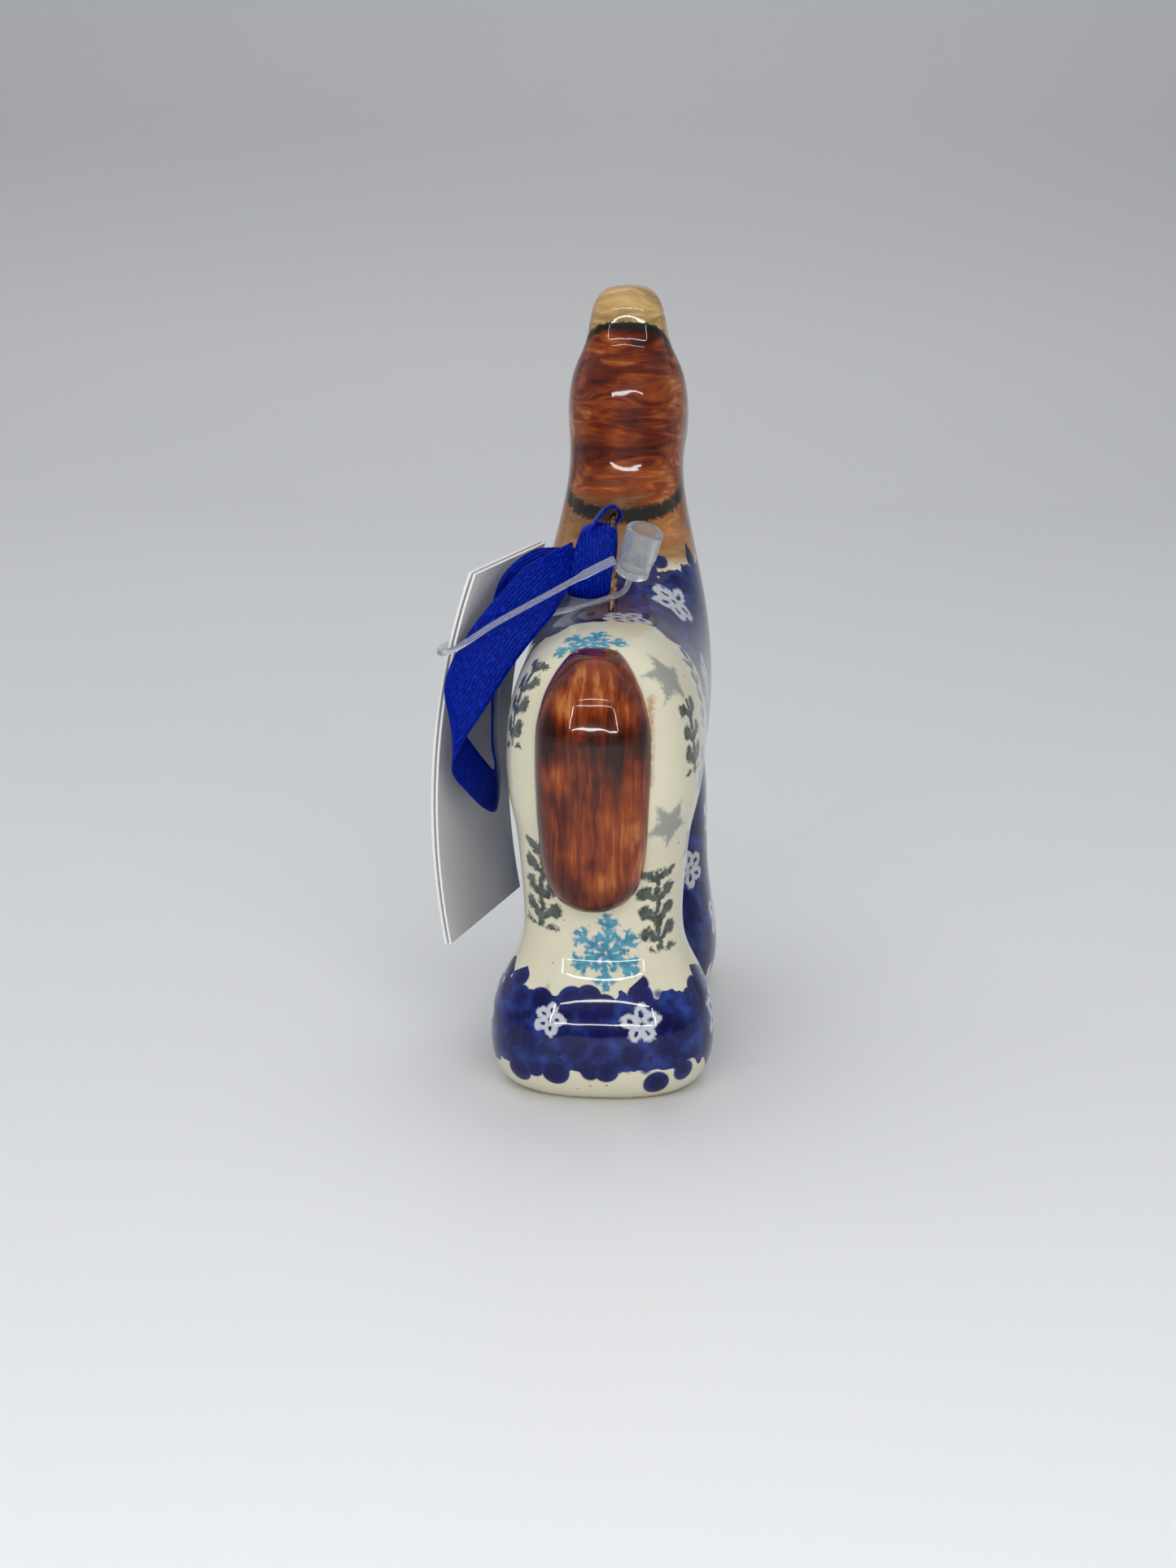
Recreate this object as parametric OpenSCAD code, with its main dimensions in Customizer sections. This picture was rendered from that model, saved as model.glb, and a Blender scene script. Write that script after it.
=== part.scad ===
// Dala horse: a glazed stoneware hanging ornament with a wire eye, a ribbon loop and a folded hang tag.
// The horse faces -Y and stands on z = 0, its left side is +X, and x = 0 is its plane of symmetry.

/* [Horse] */
// Height from the floor to the top of the ears
horse_h = 126; // [118:1:134]
// Widest part of the feet
foot_w = 37; // [35:1:39]
// Widest part of the barrel of the body
body_w = 32; // [31:1:33]
// Wall of the slip-cast shell
wall = 3.5; // [2.5:0.5:4]
// Diameter of the casting vent in the belly
vent_d = 5; // [3:0.5:6]

/* [Tail] */
// Widest part of the relief tail
tail_w = 18.2; // [16:0.2:20]
// How far the tail stands off the centre plane
tail_offset = 0.8; // [0:0.1:1.5]

/* [Wire eye] */
// Diameter of the wire
wire_d = 1; // [0.8:0.1:1.2]
// Bend radius of the eye, to the middle of the wire
eye_r = 4; // [3.8:0.1:4.2]
// Height of the middle of the bend above the floor
eye_z = 86.5; // [86:0.5:87]

/* [Ribbon] */
// Width of the satin ribbon
ribbon_w = 9.5; // [8:0.5:10]
// Thickness of the ribbon with its slack
ribbon_t = 0.7; // [0.5:0.1:0.8]

/* [Tag fastener] */
// Outer diameter of the socket barrel
socket_d = 6.2; // [5.8:0.1:6.4]
// Length of the socket barrel
socket_len = 8.5; // [7.5:0.5:9]
// Diameter of the strand
strand_d = 1; // [0.8:0.1:1.1]

/* [Tag] */
// Height of the folded tag
tag_h = 64; // [60:1:66]
// Depth of the folded tag, front to back
tag_depth = 34; // [30:1:35]
// Thickness of each leaf of card
leaf_t = 0.4; // [0.3:0.05:0.5]
// Space between the two leaves
leaf_gap = 0.4; // [0.3:0.1:0.6]

/* [Hidden] */

ring_sides = 32;
slab = 0.1;
squareness = 2.5;
body_half = body_w / 2;
foot_half = foot_w / 2;
rise = horse_h / 126;

// Rings of the rear leg: height, half width, front, rear
rear_leg_rings = [
    [0, foot_half - 4, 22.5, 43.5], [1.2, foot_half - 2, 20.5, 45.4], [4, foot_half - 0.5, 18.6, 46.8],
    [8, foot_half, 18, 47.2], [11.5, foot_half - 0.1, 18, 47], [15, foot_half - 0.8, 18.2, 46.1],
    [19, foot_half - 2.8, 19, 43.9], [22.5, foot_half - 4.9, 20, 41.9], [26, foot_half - 5.6, 20.6, 41.4],
    [31, foot_half - 5.6, 20.6, 41.8], [40, foot_half - 4.8, 19, 43.4], [49, foot_half - 4, 17, 44],
    [58, foot_half - 5, 16, 42],
];
// Rings of the front leg: height, half width, front, rear
front_leg_rings = [
    [0, foot_half - 4.5, -26, 0], [1.2, foot_half - 2.6, -28, 2], [4, foot_half - 1.2, -29.6, 3.6],
    [8, foot_half - 0.8, -30, 4], [13, foot_half - 1.2, -29.6, 3.4], [18, foot_half - 2.2, -28.6, 1.4],
    [24, body_half - 0.4, -27.6, -0.6], [34, body_half - 0.5, -28, -0.6], [42, body_half - 0.9, -28.6, 2],
    [52, body_half - 2.4, -28, 4], [60, body_half - 5, -26, 3],
];
// Rings from the rump to the muzzle: top point [y, z], under point [y, z], half width
spine_rings = [
    [[45.2, 60], [45.2, 49], 4.5], [[44.2, 66.4], [44.4, 42], 9.6], [[41.6, 70.6], [41.8, 38], 13],
    [[37, 73.2], [37, 36], 15], [[30, 74.4], [30, 35.4], body_half - 0.1], [[21, 74.8], [21, 36], body_half],
    [[12, 75], [12, 36.4], body_half], [[4, 76.4], [3, 36.2], body_half], [[-1, 78.6], [-9, 35], body_half],
    [[-4.6, 81.2], [-22, 36], body_half], [[-7, 84], [-33.4, 45], 15.2], [[-9, 87.4], [-37.6, 59], 13.6],
    [[-11, 91.4], [-37.8, 73], 11.8], [[-13, 96], [-37, 84], 10.3], [[-14.8, 101], [-37.2, 90.6], 9.9],
    [[-16.6, 107], [-39, 92.4], 10.4], [[-19.2, 113.4], [-41, 91.6], 10.8], [[-24.4, 118.2], [-43, 90.8], 10.6],
    [[-31.6, 117.4], [-44.8, 90.4], 9.8], [[-38, 113], [-46.6, 90.4], 8.8], [[-43.2, 108.4], [-48.2, 91], 7.8],
    [[-47.4, 104], [-49.4, 92.6], 6.8], [[-49.6, 101], [-50, 94.6], 5],
];
// The casting is hollow between these two rings
hollow_from = 2;
hollow_to = 12;
// Rings of an ear: height, offset from the centre plane, half width, front, rear
ear_rings = [
    [110, 2.4, 5.2, -33, -22.6], [116, 2.3, 5, -33.2, -21.4], [120, 2.2, 4.6, -32.8, -21.7],
    [123, 2, 4.2, -32, -22.4], [125, 1.8, 3.4, -31, -23.4], [126, 1.6, 2, -29.6, -25],
];

// Casting vent, drilled up through the belly: how far back it is, and the belly's height there
vent_y = 11;
belly_z = 36.5 * rise;

// Rings of the tail: height, share of its width, rear face
tail_rings = [
    [32.2, 0.4, 45.2], [33.4, 0.62, 46.6], [36, 0.8, 47.8], [40, 0.9, 48.6], [47, 0.97, 49.4],
    [55, 1, 50], [62, 0.99, 50], [67, 0.86, 49], [70.5, 0.66, 46.8], [73, 0.4, 43.6],
];
// Half the depth of the block that the tail is cut from
tail_root = 6.5;

// Wire eye: its middle, front to back, where its legs end inside the back, and its top
eye_y = 10;
wire_foot = 71;
eye_top = eye_z + eye_r;

// The ribbon's route: points along its middle line, each with the direction across its width
ribbon_route = [
    [[5.8, 12, 82.6], [0, 0, 1]], [[10.4, 12.8, 81.2], [0.1, 0, 1]], [[14.6, 13.4, 79], [0.15, 0, 1]],
    [[17.2, 13.6, 75.8], [0.25, 0.3, 0.85]], [[18.8, 13, 71.4], [0.2, 0.6, 0.75]], [[19.4, 12, 66], [0.1, 1, 0.1]],
    [[20, 11, 58], [0, 1, 0]], [[20.2, 10, 51], [0, 1, 0.2]], [[19.8, 9.6, 46], [0, 0.9, 0.5]],
    [[20, 12.6, 43.4], [0, 0.5, 0.9]], [[21.4, 17, 45.6], [0, 0.2, 1]], [[23.6, 21.4, 50], [0, 0, 1]],
    [[25.6, 25.2, 54.6], [0, 0, 1]], [[25, 26.6, 59.6], [0.3, 0, 0.9]], [[22, 25, 65.6], [0.6, 0, 0.8]],
    [[18.4, 22.8, 71.2], [0.6, 0, 0.8]], [[14.4, 20.6, 76], [0.5, 0, 0.9]], [[10.2, 18, 80.4], [0.4, 0, 0.9]],
    [[6, 14.2, 84], [0.2, 0, 1]],
];

// Hitch: the collar's near face, width, middle, depth, height and rounding
hitch_near = 0.9;
hitch_w = 5.6;
hitch_y = 12.2;
hitch_depth = 6.2;
hitch_h = 12.6;
hitch_z = 83.5;
hitch_round = 2;
// The bight that runs round the top of the wire
bight_bore = wire_d + 1;
bight_t = 0.8;
bight_w = 2.4;

// Barrel of the tag fastener: middle of its foot, its lean, bore and rim
socket_foot = [-3.6, 18.8, 82];
socket_lean = [-15, -17, 0];
socket_bore = 4.4;
socket_rim = 1.2;
// Arrow tip in the barrel
plug_neck = 1.6;
plug_barb = 3.2;
plug_len = 4.2;
plug_tail = 0.6;

// The strand's route: from the barrel's side, round the tag's rear edge, through its hole, and back
strand_route = [
    [-0.9, 19.6, 84.6], [3, 20.8, 82.8], [10, 23.2, 79.2], [18, 25.8, 75], [24, 27.2, 71.2], [26.6, 27.2, 70.2],
    [27.4, 24.6, 70], [27, 20.4, 70], [25.6, 16.6, 70], [22.6, 16.6, 70.2], [18, 17.4, 72], [12, 16.2, 74.2],
    [6, 15.8, 75.8], [1, 16.3, 77.4], [-2.2, 17.8, 79], [-3.4, 18.6, 81.3],
];

// Tag: middle of its rear edge, its turn and lean, the radius of its bow, and its punched hole
tag_place = [28.2, 22, 51];
tag_yaw = -14;
tag_pitch = -4.7;
tag_bow_r = 120;
tag_bow = 2 * asin(tag_h / 2 / tag_bow_r);
tag_hole_d = 3;
tag_hole_in = 6.5;
tag_hole_up = 19;

function power(v, e) = sign(v) * pow(abs(v), e);
function oval(w, d, turn = 0) = [for (i = [0 : ring_sides - 1]) let (a = 360 * (i + turn) / ring_sides)
    [w * power(cos(a), 2 / squareness), d * power(sin(a), 2 / squareness)]];

// One ring of the spine as points in space, in from the skin by inset
function spine_ring(ring, inset) = let (top = ring[0], under = ring[1], span = norm(top - under),
    middle = (top + under) / 2, way = (top - under) / span)
    [for (p = oval(ring[2] - inset, span / 2 - inset))
        [p[0], middle[0] + way[0] * p[1], (middle[1] + way[1] * p[1]) * rise]];

// One ring of a leg as points in space
function level_ring(ring) = let (w = ring[1], d = (ring[3] - ring[2]) / 2, middle = (ring[2] + ring[3]) / 2)
    [for (p = oval(w, d, 0.5)) [p[0], middle + p[1], ring[0] * rise]];

// A closed skin stretched over rings of points, first ring to last
module loft(rings) {
    n = ring_sides;
    rows = len(rings) - 1;
    sides = [for (k = [0 : rows - 1], i = [0 : n - 1]) let (a = k * n + i, b = k * n + (i + 1) % n)
        each [[a, b + n, b], [a, a + n, b + n]]];
    caps = [[for (i = [0 : n - 1]) i], [for (i = [n - 1 : -1 : 0]) rows * n + i]];
    polyhedron([for (ring = rings) each ring], concat(sides, caps));
}

// Rump, back, neck and head, between two of the spine's rings
module spine(first, last, inset) {
    loft([for (k = [first : last]) spine_ring(spine_rings[k], inset)]);
}

module leg(rings) {
    loft([for (ring = rings) level_ring(ring)]);
}

module disc(w, d) {
    linear_extrude(slab) polygon(oval(w, d));
}

module ear_disc(ring, side) {
    translate([side * ring[1], (ring[3] + ring[4]) / 2, ring[0] * rise])
        disc(ring[2], (ring[4] - ring[3]) / 2);
}

// One of the two ears, which run together into a block
module ear(side) {
    for (i = [0 : len(ear_rings) - 2]) {
        hull() {
            ear_disc(ear_rings[i], side);
            ear_disc(ear_rings[i + 1], side);
        }
    }
}

module skin() {
    leg(rear_leg_rings);
    leg(front_leg_rings);
    spine(0, len(spine_rings) - 1, 0);
    ear(-1);
    ear(1);
}

// The two merged pairs of legs, body, neck and head are one casting, hollow between rump and neck
module horse_body() {
    color("ivory") difference() {
        skin();
        spine(hollow_from, hollow_to, wall);
        translate([0, vent_y, belly_z - wall]) cylinder(d = vent_d, h = 3 * wall, $fn = 32);
    }
}
module tail_disc(ring) {
    translate([tail_offset, ring[2] - tail_root, ring[0] * rise])
        disc(ring[1] * tail_w / 2, tail_root);
}

// Relief tail, pressed on its own and luted to the rump before firing
module tail() {
    color("saddlebrown") difference() {
        for (i = [0 : len(tail_rings) - 2]) {
            hull() {
                tail_disc(tail_rings[i]);
                tail_disc(tail_rings[i + 1]);
            }
        }
        skin();
    }
}

module wire_leg(side) {
    translate([0, eye_y + side * eye_r, wire_foot]) cylinder(d = wire_d, h = eye_z - wire_foot, $fn = 24);
}

// Hairpin of heat-proof wire, its legs fired into the back
module wire_hanger() {
    color("sienna") {
        wire_leg(-1);
        wire_leg(1);
        translate([0, eye_y, eye_z]) rotate([90, 0, 90])
            rotate_extrude(angle = 180, $fn = 64) translate([eye_r, 0]) circle(d = wire_d, $fn = 24);
    }
}

module band_edge(stop) {
    reach = stop[1] / norm(stop[1]) * (ribbon_w - ribbon_t) / 2;
    translate(stop[0] - reach) sphere(d = ribbon_t, $fn = 8);
    translate(stop[0] + reach) sphere(d = ribbon_t, $fn = 8);
}

// Satin ribbon: one closed loop, both of its runs held by the hitch
module ribbon_loop() {
    color("royalblue") {
        for (i = [0 : len(ribbon_route) - 2]) {
            hull() {
                band_edge(ribbon_route[i]);
                band_edge(ribbon_route[i + 1]);
            }
        }
    }
}

module hitch_corner(side, level) {
    translate([hitch_near, hitch_y + side * (hitch_depth / 2 - hitch_round),
        hitch_z + level * (hitch_h / 2 - hitch_round)])
        rotate([0, 90, 0]) cylinder(r = hitch_round, h = hitch_w, $fn = 32);
}

// Cow hitch: the bight goes round the top of the wire and collars the ribbon's two runs
module ribbon_hitch() {
    color("mediumblue") {
        difference() {
            union() {
                hull() {
                    for (side = [-1, 1]) {
                        hitch_corner(side, -1);
                        hitch_corner(side, 1);
                    }
                }
                translate([0, eye_y, eye_top]) rotate([90, 0, 0])
                    cylinder(d = bight_bore + 2 * bight_t, h = bight_w, center = true, $fn = 48);
            }
            translate([0, eye_y, eye_top]) rotate([90, 0, 0])
                cylinder(d = bight_bore, h = 3 * bight_w, center = true, $fn = 48);
        }
    }
}

module along_socket() {
    translate(socket_foot) rotate(socket_lean) children();
}

// Clear plastic barrel: an open mouth above, and a smaller hole below for the arrow tip
module fastener_socket() {
    color("gainsboro") along_socket() difference() {
        cylinder(d = socket_d, h = socket_len, $fn = 48);
        translate([0, 0, socket_rim]) cylinder(d = socket_bore, h = socket_len, $fn = 48);
        translate([0, 0, -socket_rim]) cylinder(d = plug_neck, h = 4 * socket_rim, $fn = 32);
    }
}

// Arrow tip, snapped up through the barrel's lower hole
module fastener_plug() {
    color("white") along_socket() {
        translate([0, 0, socket_rim]) cylinder(d1 = plug_barb, d2 = plug_neck / 2, h = plug_len, $fn = 32);
        translate([0, 0, -plug_tail]) cylinder(d = plug_neck, h = socket_rim + plug_tail, $fn = 32);
    }
}

// Thin strand moulded on the barrel's side and ending in the arrow tip
module fastener_strand() {
    color("white") {
        for (i = [0 : len(strand_route) - 2]) {
            hull() {
                translate(strand_route[i]) sphere(d = strand_d, $fn = 8);
                translate(strand_route[i + 1]) sphere(d = strand_d, $fn = 8);
            }
        }
    }
}

// One leaf of card, bowed to the outside, out from the inner leaf by offset
module tag_leaf(offset) {
    translate(tag_place) rotate([0, 0, tag_yaw]) rotate([0, tag_pitch, 0]) difference() {
        translate([-tag_bow_r, 0, 0]) rotate([90, 0, 0])
            rotate_extrude(angle = tag_bow, start = -tag_bow / 2, $fn = 180)
            translate([tag_bow_r + offset, 0]) square([leaf_t, tag_depth]);
        translate([-tag_hole_d, -tag_hole_in, tag_hole_up])
            rotate([0, 90, 0]) cylinder(d = tag_hole_d, h = 2 * tag_hole_d, $fn = 32);
    }
}

module tag_back_leaf() {
    color("whitesmoke") tag_leaf(0);
}

module tag_front_leaf() {
    color("white") tag_leaf(leaf_t + leaf_gap);
}

horse_body();
tail();
wire_hanger();
ribbon_loop();
ribbon_hitch();
fastener_socket();
fastener_strand();
fastener_plug();
tag_back_leaf();
tag_front_leaf();
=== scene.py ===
# A glazed stoneware dala horse ornament: cast horse, luted tail, wire eye, satin ribbon and a folded card
# tag on a plastic fastener. Metres, the horse faces -Y, its left side is +X and it stands on z = 0.
import math

import bmesh
import bpy
import numpy as np
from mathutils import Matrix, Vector
from mathutils.bvhtree import BVHTree


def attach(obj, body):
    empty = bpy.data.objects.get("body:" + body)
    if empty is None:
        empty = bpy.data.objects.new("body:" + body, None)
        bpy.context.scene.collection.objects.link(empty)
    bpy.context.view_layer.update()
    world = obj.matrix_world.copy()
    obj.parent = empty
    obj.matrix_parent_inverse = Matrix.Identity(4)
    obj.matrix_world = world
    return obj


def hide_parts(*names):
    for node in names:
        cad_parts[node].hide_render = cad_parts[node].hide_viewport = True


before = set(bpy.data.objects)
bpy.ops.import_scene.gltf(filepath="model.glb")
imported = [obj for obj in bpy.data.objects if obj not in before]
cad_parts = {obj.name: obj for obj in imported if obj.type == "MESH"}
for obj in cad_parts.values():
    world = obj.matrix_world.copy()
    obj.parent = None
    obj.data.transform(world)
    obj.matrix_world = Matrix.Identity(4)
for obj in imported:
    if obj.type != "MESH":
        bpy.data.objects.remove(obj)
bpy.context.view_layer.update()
scene = bpy.context.scene
scene.view_settings.view_transform = "Standard"


# ---------------------------------------------------------------------------------------------------------
# Camera: behind the horse and a little to its right, looking down at the tail.
MM = 0.001
camera_place = Vector((-26.5, 400.4, 149.0)) * MM
camera_aim = Vector((1.23, 48.0, 54.24)) * MM
camera_data = bpy.data.cameras.new("camera")
camera_data.lens = 72.25
camera_data.sensor_fit = "HORIZONTAL"
camera_data.sensor_width = 36
camera_data.clip_start = 0.01
camera = bpy.data.objects.new("camera", camera_data)
camera.location = camera_place
camera.rotation_euler = (camera_aim - camera_place).to_track_quat("-Z", "Y").to_euler()
scene.collection.objects.link(camera)
scene.camera = camera


# ---------------------------------------------------------------------------------------------------------
# Stage: one sheet of pale matt board that lies on the table and sweeps up behind the horse.
def colour(code):
    """An sRGB hex colour as the linear RGBA that a shader takes."""
    parts = [int(code[i:i + 2], 16) / 255 for i in (1, 3, 5)]
    return [c / 12.92 if c <= 0.04045 else ((c + 0.055) / 1.055) ** 2.4 for c in parts] + [1]


def put(tree, kind, *values, named=None, **settings):
    """Adds a shader node: its settings, then its inputs in order and by name, each a number or a link."""
    node = tree.nodes.new("ShaderNode" + kind)
    for name, setting in settings.items():
        setattr(node, name, setting)
    open_inputs = [socket for socket in node.inputs if socket.enabled]
    pairs = list(zip(open_inputs, values)) + [(node.inputs[key], v) for key, v in (named or {}).items()]
    for socket, value in pairs:
        if isinstance(value, bpy.types.Node):
            value = next(output for output in value.outputs if output.enabled)
        if isinstance(value, bpy.types.NodeSocket):
            tree.links.new(value, socket)
        else:
            socket.default_value = value
    return node


def new_material(name):
    """A material with an empty node tree, and the tree."""
    material = bpy.data.materials.new(name)
    material.use_nodes = True
    material.node_tree.nodes.clear()
    return material, material.node_tree


def in_millimetres(tree):
    """The place on the piece in millimetres, as a vector."""
    place = put(tree, "TexCoord").outputs["Object"]
    return put(tree, "VectorMath", place, named={"Scale": 1000.0}, operation="SCALE")


def show(name, work, material, smooth=True):
    """Makes an object at the origin from a bmesh in metres."""
    mesh = bpy.data.meshes.new(name)
    work.to_mesh(mesh)
    work.free()
    piece = bpy.data.objects.new(name, mesh)
    scene.collection.objects.link(piece)
    mesh.materials.append(material)
    mesh.polygons.foreach_set("use_smooth", [smooth] * len(mesh.polygons))
    return piece


board_front = 2.5
board_back = -0.62
sweep_radius = 0.16
board_half = 1.1
board_height = 1.0

# Matt printed board: even pale grey with a slight cloudiness and a soft, wide reflection.
board_finish, tree = new_material("pale matt board")
place = put(tree, "TexCoord").outputs["Object"]
clouds = put(tree, "TexNoise", place, named={"Scale": 3.0, "Detail": 2.0})
tone = put(tree, "Mix", clouds, colour("#DADBDC"), colour("#E0E1E2"), data_type="RGBA")
surface = put(tree, "BsdfPrincipled", tone, named={"Roughness": 0.42, "Specular IOR Level": 0.35})
put(tree, "OutputMaterial", surface)

work = bmesh.new()
edge = [work.verts.new((x, board_front, 0)) for x in (-board_half, board_half)]
line = work.edges.new(edge)
run = bmesh.ops.extrude_edge_only(work, edges=[line])["geom"]
bmesh.ops.translate(work, verts=[g for g in run if isinstance(g, bmesh.types.BMVert)],
                    vec=(0, board_back - board_front, 0))
last = [g for g in run if isinstance(g, bmesh.types.BMEdge)
        and all(v.co.y < board_back + MM for v in g.verts)]
bend = bmesh.ops.spin(work, geom=last + list(last[0].verts), angle=-math.pi / 2, steps=24, axis=(1, 0, 0),
                      cent=(0, board_back, sweep_radius))["geom_last"]
bend_top = [g for g in bend if isinstance(g, bmesh.types.BMEdge)]
rise = bmesh.ops.extrude_edge_only(work, edges=bend_top)["geom"]
bmesh.ops.translate(work, verts=[g for g in rise if isinstance(g, bmesh.types.BMVert)],
                    vec=(0, 0, board_height))
bmesh.ops.remove_doubles(work, verts=work.verts, dist=MM)
bmesh.ops.recalc_face_normals(work, faces=work.faces)
backdrop = show("backdrop", work, board_finish)


# ---------------------------------------------------------------------------------------------------------
# Light: a sky that is brighter on the far side, one broad soft box overhead, and a frame of four thin lamps
# behind the camera with a fifth above it, which the glaze mirrors as bright lines.
def area_lamp(name, place, aim, width, height, power, tint="#FFFFFF"):
    """A soft rectangular lamp, aimed at a point."""
    data = bpy.data.lights.new(name, "AREA")
    data.shape = "RECTANGLE"
    data.size = width
    data.size_y = height
    data.energy = power
    data.color = colour(tint)[:3]
    lamp = bpy.data.objects.new(name, data)
    lamp.location = place
    lamp.rotation_euler = (Vector(aim) - Vector(place)).to_track_quat("-Z", "Y").to_euler()
    scene.collection.objects.link(lamp)
    return lamp


world = bpy.data.worlds.new("studio")
world.use_nodes = True
world.node_tree.nodes.clear()
direction = put(world.node_tree, "TexCoord").outputs["Generated"]
facing = put(world.node_tree, "VectorMath", direction, (0.0, -0.75, 0.66), operation="DOT_PRODUCT")
strength = put(world.node_tree, "MapRange", facing.outputs["Value"], -0.7, 0.9, 0.04, 0.90)
sky = put(world.node_tree, "Background", colour("#E8EBEF"), strength)
put(world.node_tree, "OutputWorld", sky)
scene.world = world

horse_middle = Vector((0, 0, 0.06))
soft_box = area_lamp("overhead soft box", (0.12, -0.40, 0.90), horse_middle, 1.0, 1.0, 4.0)
soft_box.visible_glossy = False
frame_near = 0.42
frame_low = 0.10
frame_high = 0.285
frame_half = 0.26
frame_side = -0.02
upper_lamp = 0.43
lamp_thick = 0.009
bar_share = 0.88
frame_tall = frame_high - frame_low
for height in (frame_low, frame_high):
    area_lamp("long lamp", Vector((frame_side, frame_near, height)), horse_middle,
              2 * frame_half * bar_share, lamp_thick, 0.42)
area_lamp("upper lamp", Vector((frame_side, frame_near, upper_lamp)), horse_middle,
          2 * frame_half * bar_share, lamp_thick, 0.36)
frame_middle = (frame_low + frame_high) / 2
for side in (-1, 1):
    area_lamp("short lamp", Vector((frame_side + side * frame_half, frame_near, frame_middle)), horse_middle,
              lamp_thick, frame_tall * bar_share, 0.16)


# ---------------------------------------------------------------------------------------------------------
# Horse: slip-cast stoneware, both front and both rear legs merged into one block each. Stamped and brushed
# with underglaze colours on the biscuit, then dipped in clear glaze, with the base wiped bare.
def slip_cast(name, work, voxel, passes, coat, material):
    """A closed shape with the soft edges of a plaster mould, under a glaze coat of this thickness."""
    bmesh.ops.remove_doubles(work, verts=work.verts, dist=0.005 * MM)
    piece = show(name, work, material)
    remesh = piece.modifiers.new("skin", "REMESH")
    remesh.mode = "VOXEL"
    remesh.voxel_size = voxel
    remesh.use_smooth_shade = True
    skin = piece.evaluated_get(bpy.context.evaluated_depsgraph_get())
    rough = bpy.data.meshes.new_from_object(skin)
    piece.modifiers.clear()
    work = bmesh.new()
    work.from_mesh(rough)
    for _ in range(passes):
        bmesh.ops.smooth_vert(work, verts=work.verts, factor=0.5, use_axis_x=True, use_axis_y=True,
                              use_axis_z=True)
    work.normal_update()
    for vert in work.verts:
        vert.co += vert.normal * coat
        if vert.co.z < 0.3 * MM:
            vert.co.z = 0
    work.to_mesh(piece.data)
    work.free()
    bpy.data.meshes.remove(rough)
    piece.data.polygons.foreach_set("use_smooth", [True] * len(piece.data.polygons))
    return piece


def under_clear_glaze(tree, paint, roughness, peel_scale):
    """Finishes a fired material: the paint, a slight orange peel and the clear gloss glaze over it."""
    orange_peel = put(tree, "TexNoise", in_millimetres(tree), named={"Scale": peel_scale, "Detail": 1.0})
    skin_bump = put(tree, "Bump", named={"Strength": 0.25, "Distance": 0.12 * MM, "Height": orange_peel})
    surface = put(tree, "BsdfPrincipled", paint,
                  named={"Roughness": roughness, "IOR": 1.5, "Normal": skin_bump, "Specular IOR Level": 0.08,
                         "Coat Weight": 0.6, "Coat Roughness": 0.035, "Coat IOR": 1.5})
    put(tree, "OutputMaterial", surface)


def brown_stain(tree, depth, stops, thinnest):
    """The brown of a brushed stain: dark where it lies thick, up to the thinnest colour."""
    brown = put(tree, "ValToRGB", depth)
    ramp = brown.color_ramp
    for stop, code in stops:
        element = ramp.elements.new(stop)
        element.color = colour(code)
    ramp.elements[-1].color = colour(thinnest)
    ramp.elements.remove(ramp.elements[0])
    return brown


# Underglaze painting under a clear gloss glaze: hard, wet-looking, with crisp lamp reflections.
painted_glaze, tree = new_material("painted stoneware under clear glaze")
mm = in_millimetres(tree)
axes = put(tree, "SeparateXYZ", mm)
across, along, up = axes.outputs

# Cream slip with iron speckle.
cloud = put(tree, "TexNoise", mm, named={"Scale": 0.09, "Detail": 3.0})
slip = put(tree, "Mix", cloud, colour("#CFC9AE"), colour("#DAD5BF"), data_type="RGBA")
grain = put(tree, "TexNoise", mm, named={"Scale": 3.2, "Detail": 2.0, "Roughness": 0.7})
grain = put(tree, "MapRange", grain, 0.62, 0.75, 0.0, 0.30)
slip = put(tree, "Mix", grain, slip, colour("#A89A74"), data_type="RGBA")
specks = put(tree, "TexVoronoi", mm, named={"Scale": 0.33})
speck = put(tree, "MapRange", specks.outputs["Distance"], 0.055, 0.085, 0.75, 0.0)
slip = put(tree, "Mix", speck, slip, colour("#8A6A3E"), data_type="RGBA")

# Stamped motifs: each face knows the place on its own stamp, in millimetres, and which stamp it is.
stamp = put(tree, "Attribute", attribute_name="motif").outputs["Vector"]
wobble = put(tree, "TexNoise", mm, named={"Scale": 0.42, "Detail": 1.0}).outputs["Color"]
wobble = put(tree, "VectorMath", wobble, (0.5, 0.5, 0.5), operation="SUBTRACT")
wobble = put(tree, "VectorMath", wobble, (1.5, 1.5, 0.0), operation="MULTIPLY")
stamp_axes = put(tree, "SeparateXYZ", put(tree, "VectorMath", stamp, wobble, operation="ADD"))
stamp_u, stamp_v, _ = stamp_axes.outputs
stamp_kind = put(tree, "SeparateXYZ", stamp).outputs[2]
reach = put(tree, "Math", put(tree, "Math", put(tree, "Math", stamp_u, stamp_u, operation="MULTIPLY"),
                              put(tree, "Math", stamp_v, stamp_v, operation="MULTIPLY")), operation="SQRT")
turn = put(tree, "Math", stamp_v, stamp_u, operation="ARCTAN2")
edge_noise = put(tree, "TexNoise", mm, named={"Scale": 1.5, "Detail": 2.0})
edge_noise = put(tree, "MapRange", edge_noise, 0.3, 0.7, -0.30, 0.30)


def wedge(points):
    """The distances along and across the nearest arm of a stamp with so many equal arms."""
    folded = put(tree, "Math", turn, math.pi / points, operation="PINGPONG")
    out = put(tree, "Math", reach, put(tree, "Math", folded, operation="COSINE"), operation="MULTIPLY")
    off = put(tree, "Math", reach, put(tree, "Math", folded, operation="SINE"), operation="MULTIPLY")
    return out, off


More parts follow.
